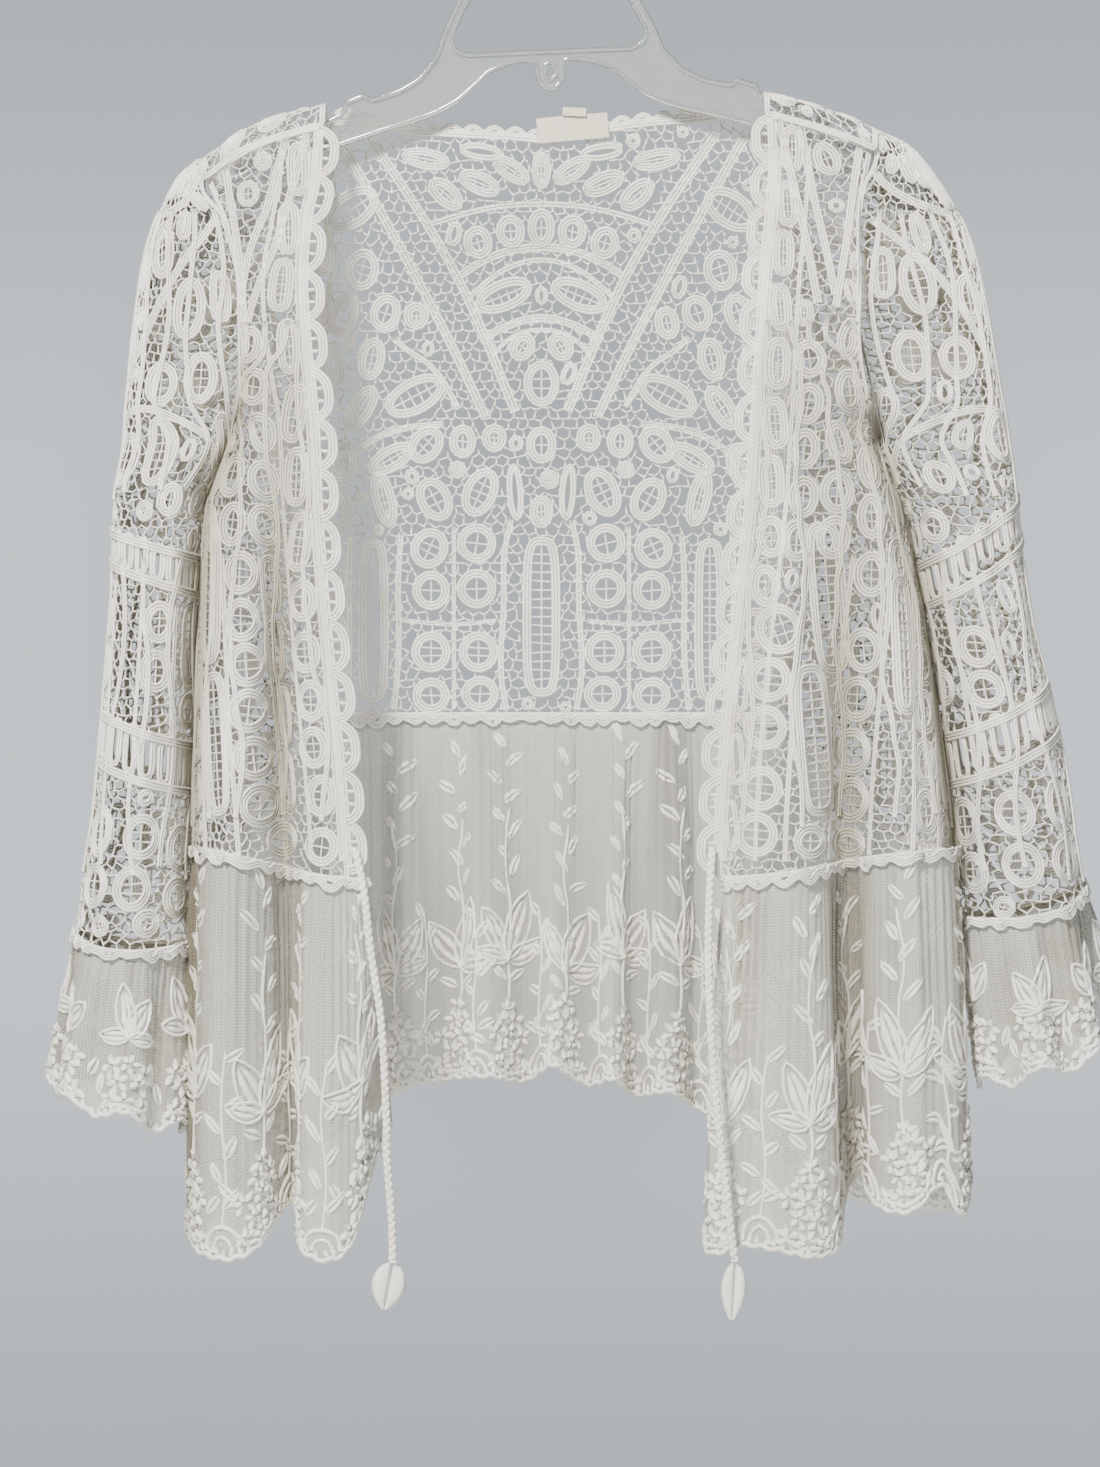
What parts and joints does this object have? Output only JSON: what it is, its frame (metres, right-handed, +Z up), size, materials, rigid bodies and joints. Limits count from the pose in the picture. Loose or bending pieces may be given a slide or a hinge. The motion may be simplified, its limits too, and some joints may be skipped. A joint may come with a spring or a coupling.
{
  "type": "open crochet lace cardigan on a clear hanger",
  "caption": "Open-front crochet lace cardigan with embroidered net ruffles at hem and cuffs, scalloped edging and tie cords, hung on a clear plastic hanger.",
  "frame": {"origin": "inside top of the hanger's hook, where it hangs on a rod", "axes": "+Z up, the wearer's front towards -Y, +X to the right of a viewer who faces the front"},
  "size_m": [0.6004, 0.1215, 0.8483],
  "materials": {
    "crochet_cotton": "matt white crochet tape lace",
    "embroidered_net": "sheer cream net with raised embroidery",
    "label_tape": "matt woven tape",
    "clear_styrene": "clear, glossy",
    "hook_steel": "bright wire"
  },
  "bodies": {
    "root": {"back": "crochet_cotton", "front_left": "crochet_cotton", "front_right": "crochet_cotton", "sleeve_left_front": "crochet_cotton", "sleeve_left_back": "crochet_cotton", "sleeve_right_front": "crochet_cotton", "sleeve_right_back": "crochet_cotton", "back_ruffle": "embroidered_net", "front_ruffle_left": "embroidered_net", "front_ruffle_right": "embroidered_net", "sleeve_ruffle_left": "embroidered_net", "sleeve_ruffle_right": "embroidered_net", "edging_left": "crochet_cotton", "edging_right": "crochet_cotton", "edging_neck": "crochet_cotton", "tie_cord_left": "crochet_cotton", "tie_cord_right": "crochet_cotton", "tie_end_left": "crochet_cotton", "tie_end_right": "crochet_cotton", "neck_label": "label_tape", "size_label": "label_tape", "hanger": "clear_styrene", "hanger_hook": "hook_steel"}
  },
  "joints": []
}
